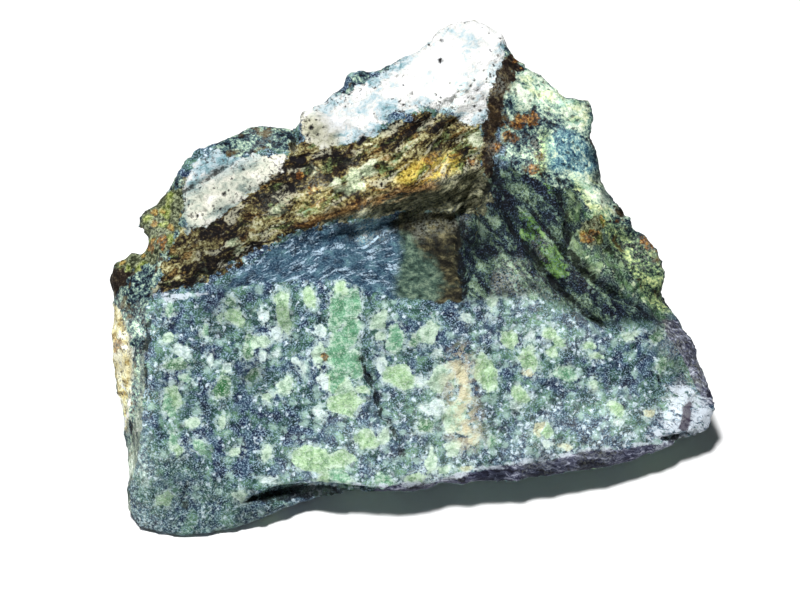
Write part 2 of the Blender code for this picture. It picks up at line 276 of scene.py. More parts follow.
MILK_GRAINS = (
    (-33.5, 12, 3.5, 3), (-36.5, 16, 3, 3), (-23, 12, 3, 2), (-22, 0, 3, 3.5), (-37, 5.5, 2, 2),
    (-34, 6.5, 2, 2), (-50, 5, 2, 2), (-46, 3.5, 2, 2), (-23, -7.5, 3, 2.5), (-57, 7, 3, 3),
    (-29, 5, 1.5, 1.5), (-27, 3, 1.5, 2), (1.5, 0, 3, 2.5), (3.5, -7, 3, 2.5), (6, -7, 4.5, 3.5),
    (-8, 4, 2, 4), (28.5, 11, 2, 2.5), (-35.5, -24.5, 3, 2), (-66.5, -23, 1, 3),
    (32.5, -15.5, 2.5, 2), (25, -6, 2.5, 2), (5.5, 7, 2, 2), (12.5, 15.5, 2, 2),
    (51, -10.5, 2, 1.5),
)
CREAM_GRAINS = (
    (11, 1.5, 3, 6), (12.5, -4, 2.5, 6.5), (12.5, -12, 3, 3.5), (14.5, -14.5, 2, 3),
    (37.5, -16.5, 3, 2), (58.5, -8.5, 2, 2), (28, 2.5, 2, 3), (31, -12, 3, 3.5),
    (12.5, -21.5, 3, 2),
)
GRAIN_SPREAD = 1.3      # how much larger the grains are drawn than they are given
GRAIN_TURN = 1.9        # how far each grain is turned from the one before, in radians
# How near a grain's sides are to its middle, and how that changes by grain and by side.
SIDE_NEAR, SIDE_UNEVEN, BY_GRAIN, BY_SIDE = 0.42, 0.10, 3.7, 2.3
# Where each kind of grain stands on the scale of tones, from deep green to cream.
GRAIN_TONES = (
    (0.0, VIVID_GRAINS), (0.2, LEAF_GRAINS), (0.4, LIME_GRAINS), (0.6, PALE_GRAINS),
    (0.8, MILK_GRAINS), (1.0, CREAM_GRAINS),
)

# Round marks: across, rise, radius.
RUST_SPOTS = (
    (23.5, 61, 1.7), (28.5, 65, 1.9), (26, 63, 1.6), (30, 52.5, 1.2), (44.5, 37, 1.2),
    (43, 35, 0.8), (51, 39.5, 0.9), (59, 34, 1.6), (-73.5, 8.5, 1.2), (-62.5, 34.5, 1.2),
    (-65, 33, 1.0), (26.5, 80, 1.0), (21, 57.5, 1.0), (-21.5, 6, 0.6), (-28, 50.5, 0.9),
    (-25.5, 47, 0.8), (14, 54.5, 0.8),
)
BLACK_PITS = (
    (7, 85, 0.6), (6.5, 79.5, 0.8), (9.5, 77, 0.4), (11.5, 73, 0.5), (10, 70, 0.5), (8, 69, 0.4),
    (6.5, 70, 0.4), (9.5, 67.5, 0.5), (-0.5, 71, 0.4), (4, 71, 0.3), (0, 69, 0.3), (16.5, 82, 0.4),
    (15, 74.5, 0.4), (14, 73, 0.4), (-4, 75.5, 0.5), (-12.5, 59.5, 1.0), (-13.5, 58.5, 0.8),
    (-20.5, 49.5, 0.9), (-30, 47, 1.0), (-54, 55.5, 0.5), (-53, 53.5, 0.3), (-50, 48.5, 0.4),
    (-49, 49.5, 0.3), (-47, 46, 0.5), (-52, 44, 0.3), (-53.5, 40.5, 0.4), (-58.5, 48.5, 0.4),
    (-60.5, 47.5, 0.4), (-41.5, 53.5, 0.3), (-49.5, 43, 0.3), (-51.5, 42, 0.4), (-28, 54.5, 1.2),
    (-30, 55, 1.0), (-27, 64.5, 0.5), (-25.5, 62.5, 0.6), (-26.5, 60.5, 0.5), (-24, 60.8, 0.4),
    (-22, 62, 0.3), (-23.5, 64.5, 0.3), (-28.5, 60, 0.7), (13, 71.5, 0.3), (14.5, 70, 0.4),
    (16, 72, 0.3), (15, 68, 0.4), (17, 70, 0.4), (12.5, 69, 0.3), (16.5, 67, 0.4), (18, 74, 0.4),
    (17.5, 77, 0.35), (13.5, 75.5, 0.3), (11, 71.5, 0.3), (9, 73.5, 0.3), (2, 75, 0.35),
)

# Cracks and grooves: points as (across, rise), then width and depth.
CRACKS = (
    (((-13.5, 9), (-12, 2), (-10, -1), (-9, -5), (-7.5, -9.5)), 1.5, 2.2),
    (((-9.5, -7), (-6, -11), (-4, -14.5), (-2, -18.5)), 1.1, 1.4),
    (((21, 46), (23, 40), (26, 35), (32, 27), (37, 22), (42, 17), (46, 14), (51, 11)), 1.9, 2.8),
    (((36, 51), (36, 46), (38, 40), (38.5, 33), (41, 28), (46, 23.5), (52.5, 20), (59, 16)),
     1.8, 2.8),
    (((-57, 46.5), (-53, 48.5), (-51, 50), (-47.5, 52.5), (-44, 53.5)), 0.8, 1.6),
    (((-64, 20), (-65.5, 12), (-66, 3), (-65.5, -2), (-66.5, -10)), 0.9, 0.9),
    (((-42, -30), (-36.5, -28.8), (-30.5, -27.6), (-23, -27.3), (-15, -28), (-6, -29), (4, -31)),
     3.2, 5.0),
    (((61, -14.5), (64, -15), (67, -14.5), (72, -13)), 1.4, 2.5),
    (((60, 1), (61.5, -0.5), (63, -2.5)), 0.7, 1.6),
    (((-30.5, 63), (-30, 59.5), (-30, 55.5)), 1.4, 2.2),
    (((12.5, 45), (12.2, 39), (11.0, 33), (11.4, 28), (12.4, 22), (11.0, 17)), 1.7, 1.0),
    (((23.5, 62), (22, 57), (20.5, 51), (17, 45), (14, 41)), 1.2, 1.0),
    (((-56.5, -18), (-56, -24), (-56.5, -31), (-55.5, -38)), 0.5, 0.9),
    (((-17, 70), (-16, 68.5), (-14.5, 67.5)), 0.9, 1.2),
    (((27, 46), (30, 41), (35, 34), (39, 30), (43, 25)), 1.0, 1.6),
    (((40, 46), (43, 40), (46, 35), (51, 30), (57, 26)), 0.9, 1.4),
)

# Knobs that stand out of the rim: across, rise, radius, height.
KNOBS = (
    (-14.5, 75.5, 3.2, 1.2), (-28, 66.5, 2.6, 1.1), (-54.5, 57, 2.2, 0.8), (-66, 39, 2.6, 1.2),
    (-10, 78.5, 2.0, 0.8), (-70, 31, 2.4, 0.8), (44, 69, 2.5, 0.9), (53, 39, 2.2, 0.8),
)

# Relief worked into the skin. Lumps and chips are given by size and seed, and some are
# stretched; ridges by width, length, angle and seed. Sizes and depths are in millimetres.
ALL_OVER = ((0.45, (7, 3.0)), (0.3, (2.6, 4.0)))
CHIPS = ((1.0, (4.5, 6.0)), (0.6, (2.0, 7.0)))
CHIPS_LOST_IN_STAIN, CALM_IN_SLIP, CALM_IN_BEVEL = 0.7, 0.8, 0.5
LUMPS = (
    (0.75, (1.7, 8.0, (0.16, 0.16, 1.0)), (STAIN_BAND,)),
    (0.45, (0.9, 9.0, (0.2, 0.2, 1.0)), (STAIN_BAND,)),
    (0.25, (1.5, 10.0), (WHITE_TOP, WHITE_SLAB, CREST_CREAM, LEFT_RIND)),
    (0.7, (2.2, 11.0), (OLIVE_NODULES,)),
)
RIDGES = (      # the last number is the feather of the outlines' edge
    (0.45, (1.5, 7.0, 38, 17.5), (WHITE_SLAB,), 1.5),
    (0.25, (1.1, 9.0, 30, 12.5), (SLIP,), 1.5),
    (1.5, (3.4, 14.0, -50, 14.5), (RIGHT_WALL, WALL_OLIVE_HIGH, GROOVE_SIDE), 2.5),
    (0.7, (1.6, 7.0, -50, 15.5), (RIGHT_WALL, WALL_OLIVE_HIGH, GROOVE_SIDE), 2.5),
    (0.6, (1.5, 9.0, 86, 16.5), (LEFT_STRIP,), 1.5),
)
CRACK_WANDER, CRACK_EDGE = 0.9, (2.2, 13.0)
CRACK_SPREAD, CRACK_FULL = 2.0, 0.8     # opening and floor, as shares of a crack's width
# Where pits, knobs and soft patches begin and where they are full, as shares of their radius.
PIT_DEPTH, PIT_RIM, PIT_FULL = 0.6, 1.6, 0.4
KNOB_FULL = 0.2
PATCH_RIM, PATCH_FULL = 1.5, 0.3
KEPT_FOOT = (0.5, 4.0)      # up to the first height nothing is worked, so the stone sits flat

# Marks that the material reads. Depths into outlines:
DEPTH_MARKS = {
    "crest": (CREST, LEFT_END, LEFT_RIND, TEAL_CAP, NAVY_PATCH, OLIVE_TOP, BROWN_CREST),
    "crest_brown": (BROWN_CREST, RIM_BROWN, LEFT_BROWN),
    # the rim facet in the dark mark is painted shade
    "dark": (TEAL_CAP, NAVY_PATCH, OLIVE_TOP, RIM_PAINTED_SHADE, LEFT_RIND),
    "olive": (OLIVE_NODULES, RIM_YELLOW),
    "leafy": (WALL_OLIVE, WALL_OLIVE_HIGH),
    "strip": (LEFT_STRIP,),
    "scraped": (RIGHT_WHITE,),
    "purple": (LOWER_BEVEL, RIGHT_STRIP),
    "purple_spot": (RIGHT_PURPLE,),
}
# Shares from 0 to 1, with the feather of their edge:
SOFT_MARKS = {
    "brown": (1.2, (BROWN_UNDER_LEDGE, BROWN_LOW_LEFT, BROWN_MIDDLE, BROWN_TOP)),
    "nook": (1.5, (NOOK,)),
    "nook_brown": (3.0, (NOOK_BROWN,)),
    "pale": (1.2, (CREST_CREAM, CREST_BEIGE)),
    "blue": (1.2, (CREST_BLUE,)),
    "frost": (5.0, (PALE_LOW_FACE, PALE_HIGH_FACE)),
    "peach": (3.0, (PEACH_VEIN,)),
    "burnt": (1.2, (BURNT_LINE,)),
    "mossy": (2.5, (GROOVE_SIDE, CREST_LIME)),
    # lighter greys under the stained ledge: painted light where the ledge casts its shadow
    "sheltered": (1.5, (BROWN_UNDER_LEDGE,)),
    "foot": (3.0, (FOOT,)),
}
# The strongest of some shares: how strong each is, its feather, and its outline.
STRONGEST_MARKS = {
    "ochre": ((1.0, 1.5, OCHRE_CORE), (0.35, 1.5, OCHRE_LEFT)),
    "wall": ((1.0, 2.0, RIGHT_WALL), (0.45, 2.0, RIGHT_END)),
    "cream": ((1.0, 1.5, LEFT_CREAM), (0.45, 3.0, SLAB_CREAM), (0.65, 2.0, WHITE_CREAM)),
}
BRIGHT = ((0.45, 2.0, WHITE_TOP), (0.55, 4.0, WHITEST))     # these add up instead
# the pale patches are partly painted light and the darker patches partly painted shade
PATCH_MARKS = {"pale_and_painted_light": PALE_AND_PAINTED_LIGHT, "dark_and_painted_shade": DARK_AND_PAINTED_SHADE, "stain_pale": STAIN_PALE}
SPOT_MARKS = {"rust": RUST_SPOTS, "pit": BLACK_PITS}
# How much edges wander, and the size and seed of the noise that they follow.
PATCH_WANDER, PATCH_EDGE = 0.5, (2.8, 31.0)
SLIP_WAVE, SLIP_EDGE = 0.8, (1.6, 33.0)
# The back, in millimetres: the rind above its foot, and a stained bed that climbs along X.
RIND_FOOT, RIND_FEATHER, RIND_WAVE, RIND_EDGE = 36.0, 3.0, 9.0, (22, 21.0)
BED_MIDDLE, BED_HALF, BED_CLIMB, BED_WAVE, BED_EDGE = 44.0, 5.0, 0.2, 6.0, (18, 22.0)
BACK_SHARES = {"cream": 0.6}    # how strong other marks are there

# How far the edge of each finish wanders, as a share of the drift's reach in millimetres.
DRIFT_REACH = 5.0
EDGE_WANDER = {
    "grain": 0.75, "leafy": 2.4, "purple": 0.5, "strip": 0.8, "slip": 0.7, "crest_brown": 1.5,
    "dark": 1.2, "stain": 1.8, "rind": 1.2, "olive": 1.2, "bruise": 0.8, "rust": 1.8,
    "pit": 0.25, "purple_spot": 0.5, "painted_crack_shade": 0.8,
}
BLOB_REACH = 0.55       # size of a blob as a share of its cell
# How the drawn-out finishes are turned, in degrees.
BED_TURN = (0, -15.6, 0)
SLIP_TURN = (0, 0, 36)
CREST_TURN = (0, -35, 0)
BLUE_TURN = (-45, 0, 12)
WALL_TURN = (0, 26, -47)
SPLIT_TURN = (0, 8, 0)
STRIP_TURN = (-45, 0, 0)
SCRAPE_TURN = (0, 28, 0)
# The dry stone's shine, and the finest relief of its jade.
SPECULAR = 0.12
ROUGHNESS = (0.45, 1.0)
BUMP_STRENGTH, BUMP_DEPTH = 0.8, 0.6
# Kinds of the groups' sockets, where they aren't numbers.
SOCKET_KINDS = {"Place": "Vector", "Color": "Color"}

# View and light.
LENS = 120
EYE_DISTANCE = 0.667
EYE_TARGET = (-3.5 * MM, -6 * MM, 34 * MM)
EYE_RISE = math.radians(45)
LIT = (0, 0, 0.03)      # what the lamps look at
LIGHTS = {              # place, side and power
    "key": ((-0.15, -0.14, 1.0), 0.15, 15.0),
    "fill": ((0.0, -0.9, 0.6), 0.8, 0.4),
}
SKY_STRENGTH = 0.022
FLOOR_HALF, FLOOR_PALENESS, FLOOR_ROUGHNESS = 3.0, 0.9, 0.9


def ramp(low, high, value):
    """0 below low, 1 above high, and a smooth rise between, for whole arrays."""
    part = np.clip((value - low) / (high - low), 0.0, 1.0)
    return part * part * (3.0 - 2.0 * part)


def settle(stone):
    """Make what the modifiers give the stone's own mesh."""
    graph = bpy.context.evaluated_depsgraph_get()
    mesh = bpy.data.meshes.new_from_object(stone.evaluated_get(graph))
    stone.modifiers.clear()
    stone.data = mesh


def fine_copy(solid):
    """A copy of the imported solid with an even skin, fine enough to be worked."""
    shape = bmesh.new()
    shape.from_mesh(solid.data)
    bmesh.ops.remove_doubles(shape, verts=shape.verts, dist=WELD * MM)
    mesh = bpy.data.meshes.new("raw_jade_stone")
    shape.to_mesh(mesh)
    shape.free()
    stone = bpy.data.objects.new("raw_jade_stone", mesh)
    bpy.context.scene.collection.objects.link(stone)
    even = stone.modifiers.new("even", "REMESH")
    even.mode = "VOXEL"
    even.voxel_size = VOXEL * MM
    ease = stone.modifiers.new("ease", "SMOOTH")
    ease.factor = EASE
    ease.iterations = EASE_ROUNDS
    settle(stone)
    return stone


def line_reach(across, rise, start, end):
    """How far along a straight line each place lies, from 0 to 1, and how far from it."""
    (x0, y0), (x1, y1) = start, end
    dx, dy = x1 - x0, y1 - y0
    along = np.clip(((across - x0) * dx + (rise - y0) * dy) / (dx * dx + dy * dy), 0, 1)
    return along, np.hypot(across - x0 - along * dx, rise - y0 - along * dy)


def outline_depth(across, rise, outline):
    """How far each place lies inside a closed outline, in millimetres; negative outside."""
    nearest = np.full(len(across), np.inf)
    inside = np.zeros(len(across), dtype=bool)
    for start, end in zip(outline, outline[1:] + outline[:1]):
        nearest = np.minimum(nearest, line_reach(across, rise, start, end)[1])
        (x0, y0), (x1, y1) = start, end
        if y0 != y1:
            crosses = (y0 > rise) != (y1 > rise)
            inside ^= crosses & (across < x0 + (rise - y0) / (y1 - y0) * (x1 - x0))
    return np.where(inside, nearest, -nearest)


def crack_depth(across, rise, points, width):
    """How far each place lies inside a bent crack that narrows to nothing at both ends."""
    inside = np.full(len(across), -FAR)
    steps = len(points) - 1
    for i, (start, end) in enumerate(zip(points, points[1:])):
        along, away = line_reach(across, rise, start, end)
        taper = np.sin(np.pi * (i + along) / steps) ** CRACK_TAPER
        inside = np.maximum(inside, 0.5 * width * taper - away)
    return inside


def seed_shift(seed):
    """Where in the noise a pattern with this seed is taken from."""
    return Vector((seed, 2.7 * seed, -seed))


class Skin:
    """The stone's vertices as arrays, in millimetres."""

    def __init__(self, mesh):
        self.mesh = mesh
        self.places = self.read("co") / MM
        self.measure()

    def read(self, name):
        values = np.empty(len(self.mesh.vertices) * 3)
        self.mesh.vertices.foreach_get(name, values)
        return values.reshape(-1, 3)

    def measure(self):
        self.normals = self.read("normal")
        self.across = self.places[:, 0]
        self.rise = (self.places[:, 1] + self.places[:, 2]) * SLOPE
        self.height = self.places[:, 2]
        facing = (self.normals[:, 2] - self.normals[:, 1]) * SLOPE
        self.front = ramp(*FRONT_TURN, facing)

    def lumps(self, size, seed, stretch=(1, 1, 1)):
        """Smooth noise from about -1 to 1 at every vertex."""
        shift = seed_shift(seed)
        scale = np.array(stretch) / size
        return np.array([noise.noise(Vector(p) + shift) for p in self.places * scale])

    def ridges(self, width, length, angle, seed):
        """Noise drawn out along one direction of the broken face, in degrees above across."""
        turn = math.radians(angle)
        along = (self.across * math.cos(turn) + self.rise * math.sin(turn)) / length
        over = (self.rise * math.cos(turn) - self.across * math.sin(turn)) / width
        return np.array([noise.noise((a, o, seed)) for a, o in zip(along, over)])

    def chips(self, size, seed):
        """Small flat breaks: each grain of the stone is cut on a slope of its own."""
        noise.seed_set(CHIP_SEED)
        shift = seed_shift(seed)
        cuts = np.empty(len(self.places))
        for i, place in enumerate(self.places / size):
            spot = Vector(place) + shift
            centre = noise.voronoi(spot)[1][0]
            cuts[i] = (spot - centre).dot(noise.noise_vector(centre * SLOPE_CHANGE))
        return cuts

    def push(self, amount):
        """Move every vertex out along its normal, in millimetres."""
        self.places += self.normals * amount[:, None]
        self.mesh.vertices.foreach_set("co", (self.places * MM).ravel())
        self.mesh.update()
        self.measure()

    def mark(self, name, values):
        """Keep one number a vertex for the material."""
        layer = self.mesh.attributes.new(name, "FLOAT", "POINT")
        layer.data.foreach_set("value", values.astype(np.float32))

    def in_front(self, depth):
        """These depths on the side of the broken face, and far outside elsewhere."""
        return depth * self.front - FAR * (1.0 - self.front)

    def depth(self, *outlines):
        """Depth into any of the outlines, on the side of the broken face alone."""
        depths = [outline_depth(self.across, self.rise, outline) for outline in outlines]
        return self.in_front(np.clip(np.max(depths, axis=0), -FAR, FAR))

    def share(self, *outlines, feather=1.5):
        """1 inside the outlines and 0 outside, with a soft edge."""
        return ramp(-feather, feather, self.depth(*outlines))

    def shares(self, parts):
        """Several shares, each as strong as it is given."""
        return [most * self.share(outline, feather=feather) for most, feather, outline in parts]

    def reach(self, across, rise):
        """How far every vertex is from one place of the broken face."""
        return np.hypot(self.across - across, self.rise - rise)

    def spots(self, places):
        """Depth into the nearest of some round marks."""
        depths = [radius - self.reach(across, rise) for across, rise, radius in places]
        return self.in_front(np.maximum(np.max(depths, axis=0), -FAR))

    def patches(self, places):
        """Soft patches with uneven edges."""
        strength = np.zeros(len(self.across))
        wander = 1.0 + PATCH_WANDER * self.lumps(*PATCH_EDGE)
        for across, rise, radius, most in places:
            reach = self.reach(across, rise) * wander
            part = ramp(PATCH_RIM * radius, PATCH_FULL * radius, reach)
            strength = np.maximum(strength, most * part)
        return strength * self.front

    def crack_line(self):
        """Where each vertex lies across, for cracks that wander a little."""
        return self.across + CRACK_WANDER * self.lumps(*CRACK_EDGE)


def work_skin(skin):
    """Breaks, beds, nodules and cracks."""
    stain, bevel = skin.share(STAIN_BAND), skin.share(LOWER_BEVEL)
    amount = sum(depth * skin.lumps(*kind) for depth, kind in ALL_OVER)
    breaks = sum(depth * skin.chips(*kind) for depth, kind in CHIPS)
    amount += breaks * (1.0 - CHIPS_LOST_IN_STAIN * stain)
    amount *= (1.0 - CALM_IN_SLIP * skin.share(SLIP)) * (1.0 - CALM_IN_BEVEL * bevel)
    for depth, kind, outlines in LUMPS:
        amount += depth * skin.share(*outlines) * skin.lumps(*kind)
    for depth, kind, outlines, feather in RIDGES:
        amount += depth * skin.share(*outlines, feather=feather) * skin.ridges(*kind)
    across = skin.crack_line()
    for points, width, depth in CRACKS:
        inside = crack_depth(across, skin.rise, points, CRACK_SPREAD * width)
        amount -= depth * skin.front * ramp(-0.1, CRACK_FULL * width, inside)
    for across, rise, radius in BLACK_PITS:
        pit = ramp(PIT_RIM * radius, PIT_FULL * radius, skin.reach(across, rise))
        amount -= PIT_DEPTH * skin.front * pit
    amount *= ramp(*KEPT_FOOT, skin.height)
    for across, rise, radius, height in KNOBS:
        amount += height * ramp(radius, KNOB_FULL * radius, skin.reach(across, rise))
    skin.push(amount)


def grain_fields(skin):
    """Depth into the nearest coloured grain, and that grain's tone."""
    depth = np.full(len(skin.across), -FAR)
    tone = np.full(len(skin.across), 0.5)
    number = 0
    for grain_tone, grains in GRAIN_TONES:
        for across, rise, width, height in grains:
            number += 1
            x = (skin.across - across) / (width * GRAIN_SPREAD)
            y = (skin.rise - rise) / (height * GRAIN_SPREAD)
            reach = np.zeros(len(x))
            sides = 5 + number % 2
            for side in range(sides):
                angle = number * GRAIN_TURN + side * math.tau / sides
                near = SIDE_NEAR + SIDE_UNEVEN * math.sin(number * BY_GRAIN + side * BY_SIDE)
                reach = np.maximum(reach, (x * math.cos(angle) + y * math.sin(angle)) / near)
            inside = (1.0 - reach) * 0.5 * GRAIN_SPREAD * min(width, height)
            closer = inside > depth
            depth = np.where(closer, inside, depth)
            tone = np.where(closer, grain_tone, tone)
    return skin.in_front(depth), tone


def mark_finishes(skin):
    """Give every vertex its depth into each finish."""
    for name, outlines in DEPTH_MARKS.items():
        skin.mark(name, skin.depth(*outlines))
    for name, (feather, outlines) in SOFT_MARKS.items():
        skin.mark(name, skin.share(*outlines, feather=feather))
    back = 1.0 - skin.front
    for name, parts in STRONGEST_MARKS.items():
        strongest = np.max(skin.shares(parts), axis=0)
        skin.mark(name, np.maximum(strongest, BACK_SHARES.get(name, 0.0) * back))
    skin.mark("bright", np.sum(skin.shares(BRIGHT), axis=0))
    for name, places in PATCH_MARKS.items():
        skin.mark(name, skin.patches(places))
    for name, places in SPOT_MARKS.items():
        skin.mark(name, skin.spots(places))
    # The side that looks away: rind above, a stained bed below it, jade at the foot.
    high = (skin.height - RIND_FOOT + RIND_WAVE * skin.lumps(*RIND_EDGE)) / RIND_FEATHER
    bed = skin.height - BED_CLIMB * skin.across + BED_WAVE * skin.lumps(*BED_EDGE)
    back_stain = np.clip(BED_HALF - np.abs(bed - BED_MIDDLE), -FAR, FAR)
    back_rind = np.minimum(np.clip(high, -FAR, FAR), -back_stain)
    rind = skin.depth(WHITE_TOP, WHITE_SLAB, LEFT_CREAM)
    skin.mark("rind", rind * skin.front + back_rind * back)
    skin.mark("stain", skin.depth(STAIN_BAND) * skin.front + back_stain * back)
    skin.mark("away", back)
    skin.mark("slip", skin.depth(SLIP) + SLIP_WAVE * skin.lumps(*SLIP_EDGE))
    chipped = skin.in_front(crack_depth(skin.across, skin.rise, CHIPPED_EDGE, 1.0))
    skin.mark("bruise", np.maximum(skin.depth(EDGE_BRUISE), chipped))
    across = skin.crack_line()
    cracks = [crack_depth(across, skin.rise, line, width) for line, width, _ in CRACKS]
    # the near-black that the material lays along the cracks is painted shade in their creases and
    # in the crevice under the foot
    skin.mark("painted_crack_shade", skin.in_front(np.max(cracks, axis=0)))
    depth, tone = grain_fields(skin)
    skin.mark("grain", depth)
    skin.mark("grain_tone", tone)


def colour(red, green, blue):
    """A colour given in the usual 0 to 255 steps, as the shader wants it."""
    parts = [step / 255.0 for step in (red, green, blue)]
    return (*[p / 12.92 if p <= 0.04045 else ((p + 0.055) / 1.055) ** 2.4 for p in parts], 1.0)


class Sheet:
    """A node tree."""

    def __init__(self, tree):
        self.tree = tree

    def node(self, kind, *values, **settings):
        """A new node, with these settings and with its first sockets fed."""
        made = self.tree.nodes.new(kind)
        for name, value in settings.items():
            setattr(made, name, value)
        for socket, value in zip(made.inputs, values):
            self.feed(socket, value)
        return made

    def feed(self, socket, value):
        """Link what a node gives to a socket, or set the socket to a plain value."""
        if isinstance(value, Wire):
            self.tree.links.new(value.socket, socket)
        else:
            socket.default_value = value

    def group(self, tree, *values):
        made = self.node("ShaderNodeGroup", *values, node_tree=tree)
        return [Wire(self, socket) for socket in made.outputs]

    def give(self, **results):
        """Finish a group: these are its outputs."""
        for name in results:
            new_socket(self.tree, name, "OUTPUT")
        self.node("NodeGroupOutput", *results.values())
        return self.tree


class Wire:
    """What a node gives. All that is worked out from it comes from new nodes."""

    def __init__(self, sheet, socket):
        self.sheet = sheet
        self.socket = socket

    def then(self, kind, *values, **settings):
        """Feed this and more to a new node, for what it gives first."""
        return Wire(self.sheet, self.sheet.node(kind, self, *values, **settings).outputs[0])

    def __add__(self, other):
        return self.then("ShaderNodeMath", other, operation="ADD")

    def __sub__(self, other):
        return self.then("ShaderNodeMath", other, operation="SUBTRACT")

    def __mul__(self, other):
        return self.then("ShaderNodeMath", other, operation="MULTIPLY")

    def rest(self):
        """What is missing to 1."""
        made = self.sheet.node("ShaderNodeMath", 1.0, self, operation="SUBTRACT")
        return Wire(self.sheet, made.outputs[0])

    def fade(self, low, high):
        """0 at low and 1 at high, smoothly."""
        return self.then("ShaderNodeMapRange", low, high, interpolation_type="SMOOTHSTEP")

    def cloth(self, kind, size, **numbers):
        """What a noise or cell texture with lumps of this size in millimetres gives."""
        made = self.sheet.node(kind, self)
        for name, number in {"Scale": 1.0 / (size * MM), **numbers}.items():
            made.inputs[name].default_value = number
        return {socket.name: Wire(self.sheet, socket) for socket in made.outputs}

    def noise(self, size, detail=3, roughness=0.6):
        return self.cloth("ShaderNodeTexNoise", size, Detail=detail, Roughness=roughness)["Fac"]

    def blobs(self, size, portion, soft=0.3):
        """Scattered patches: this portion of the cells holds one."""
        cell = self.cloth("ShaderNodeTexVoronoi", size)
        lot = cell["Color"].then("ShaderNodeSeparateColor")
        chosen = lot.then("ShaderNodeMath", portion, operation="LESS_THAN")
        return chosen * cell["Distance"].fade(BLOB_REACH, BLOB_REACH - soft)

    def stirred(self, size, amount):
        """The same places moved about, so what is drawn on them has uneven edges."""
        drift = self.cloth("ShaderNodeTexNoise", size, Detail=2.0)["Color"]
        centred = drift.then("ShaderNodeVectorMath", (0.5,) * 3, operation="SUBTRACT")
        far = (amount * MM,) * 3
        return centred.then("ShaderNodeVectorMath", far, self, operation="MULTIPLY_ADD")

    def drawn_out(self, angles, lengths):
        """Turned places, so that what is drawn on them is long along the turned axes."""
        turn = [math.radians(angle) for angle in angles]
        return self.then("ShaderNodeMapping", (0, 0, 0), turn, lengths, vector_type="TEXTURE")

    def tones(self, *stops):
        """A run of colours: each stop is a place from 0 to 1 and a colour."""
        made = self.sheet.node("ShaderNodeValToRGB", self)
        band = made.color_ramp
        while len(band.elements) < len(stops):
            band.elements.new(1.0)
        for element, (place, *tint) in zip(band.elements, stops):
            element.position = place
            element.color = colour(*tint)
        return Wire(self.sheet, made.outputs["Color"])

    def coats(self, *layers):
        """Lay colours over this one in turn: how strongly, what, and how if not plainly."""
        made = self
        for part, over, *blend in layers:
            over = colour(*over) if isinstance(over, tuple) else over
            mix = self.sheet.node("ShaderNodeMix", part, data_type="RGBA")
            mix.blend_type = blend[0] if blend else "MIX"
            self.sheet.feed(mix.inputs[6], made)
            self.sheet.feed(mix.inputs[7], over)
            made = Wire(self.sheet, mix.outputs[2])
        return made


def new_socket(tree, name, way):
    """A group's sockets carry numbers, but for the places and the colour."""
    kind = "NodeSocket" + SOCKET_KINDS.get(name, "Float")
    tree.interface.new_socket(name=name, in_out=way, socket_type=kind)


def new_group(name, inputs):
    """A shader group's sheet and what it is given."""
    sheet = Sheet(bpy.data.node_groups.new(name, "ShaderNodeTree"))
    for label in inputs.split():
        new_socket(sheet.tree, label, "INPUT")
    given = sheet.node("NodeGroupInput").outputs
    return (sheet, *[Wire(sheet, given[label]) for label in inputs.split()])


def ragged_edge():
    """Turns a depth into a finish into a mask whose edge follows the drift."""
    sheet, drift, depth, wander = new_group("ragged edge", "Drift Depth Wander")
    moved = depth + (drift - 0.5) * DRIFT_REACH * wander
    return sheet.give(Mask=moved.fade(-0.25, 0.3))


